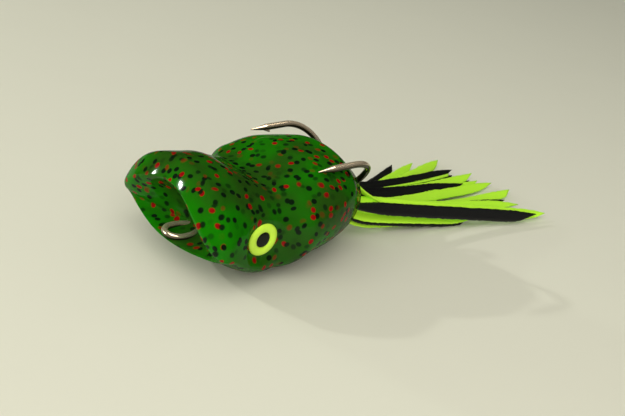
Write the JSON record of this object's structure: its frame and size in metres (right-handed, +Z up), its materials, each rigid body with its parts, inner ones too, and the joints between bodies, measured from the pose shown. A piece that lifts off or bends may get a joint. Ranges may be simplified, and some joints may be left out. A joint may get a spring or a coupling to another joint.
{
  "type": "topwater popper lure",
  "caption": "Hollow soft-bodied topwater popper with a cupped mouth, a double hook riding on its back, side eyes and two fanned strip skirts.",
  "frame": {"origin": "centre of the line tie, the wire eye inside the mouth", "axes": "+X forward out of the mouth, +Y to the lure's left, +Z up"},
  "size_m": [0.1132, 0.0569, 0.0232],
  "materials": {
    "soft_body": "glossy translucent",
    "hook_wire": "polished",
    "lead": "dull",
    "soft_trim": "satin",
    "eye_ring": "satin",
    "eye_pupil": "satin",
    "strip_chartreuse": "matt",
    "strip_black": "matt"
  },
  "bodies": {
    "frog_body": {"body_shell": "soft_body", "nose_collar": "soft_trim", "eye_ring_left": "eye_ring", "eye_ring_right": "eye_ring", "eye_pupil_left": "eye_pupil", "eye_pupil_right": "eye_pupil"},
    "hook": {"double_hook": "hook_wire", "belly_weight": "lead"},
    "skirt_left": {"skirt_knot_left": "soft_trim", "skirt_strip_left_01": "strip_chartreuse", "skirt_strip_left_02": "strip_chartreuse", "skirt_strip_left_03": "strip_black", "skirt_strip_left_04": "strip_chartreuse", "skirt_strip_left_05": "strip_chartreuse", "skirt_strip_left_06": "strip_chartreuse", "skirt_strip_left_07": "strip_black", "skirt_strip_left_08": "strip_chartreuse", "skirt_strip_left_09": "strip_chartreuse", "skirt_strip_left_10": "strip_black"},
    "skirt_right": {"skirt_knot_right": "soft_trim", "skirt_strip_right_01": "strip_black", "skirt_strip_right_02": "strip_black", "skirt_strip_right_03": "strip_chartreuse", "skirt_strip_right_04": "strip_black", "skirt_strip_right_05": "strip_black", "skirt_strip_right_06": "strip_chartreuse", "skirt_strip_right_07": "strip_chartreuse", "skirt_strip_right_08": "strip_black", "skirt_strip_right_09": "strip_black", "skirt_strip_right_10": "strip_chartreuse"}
  },
  "joints": [
    {"name": "hook_tilt", "type": "hinge", "parent": "frog_body", "child": "hook", "pos_m": [-0.0038, 0, 0.0002], "axis": [0, 1, 0], "range_deg": [0, 5]},
    {"name": "skirt_left_flare", "type": "hinge", "parent": "frog_body", "child": "skirt_left", "pos_m": [-0.044, 0.0034, -0.00006], "axis": [0, 0, 1], "range_deg": [-15, 0]},
    {"name": "skirt_right_flare", "type": "hinge", "parent": "frog_body", "child": "skirt_right", "pos_m": [-0.044, -0.0034, -0.00006], "axis": [0, 0, 1], "range_deg": [0, 15]}
  ]
}
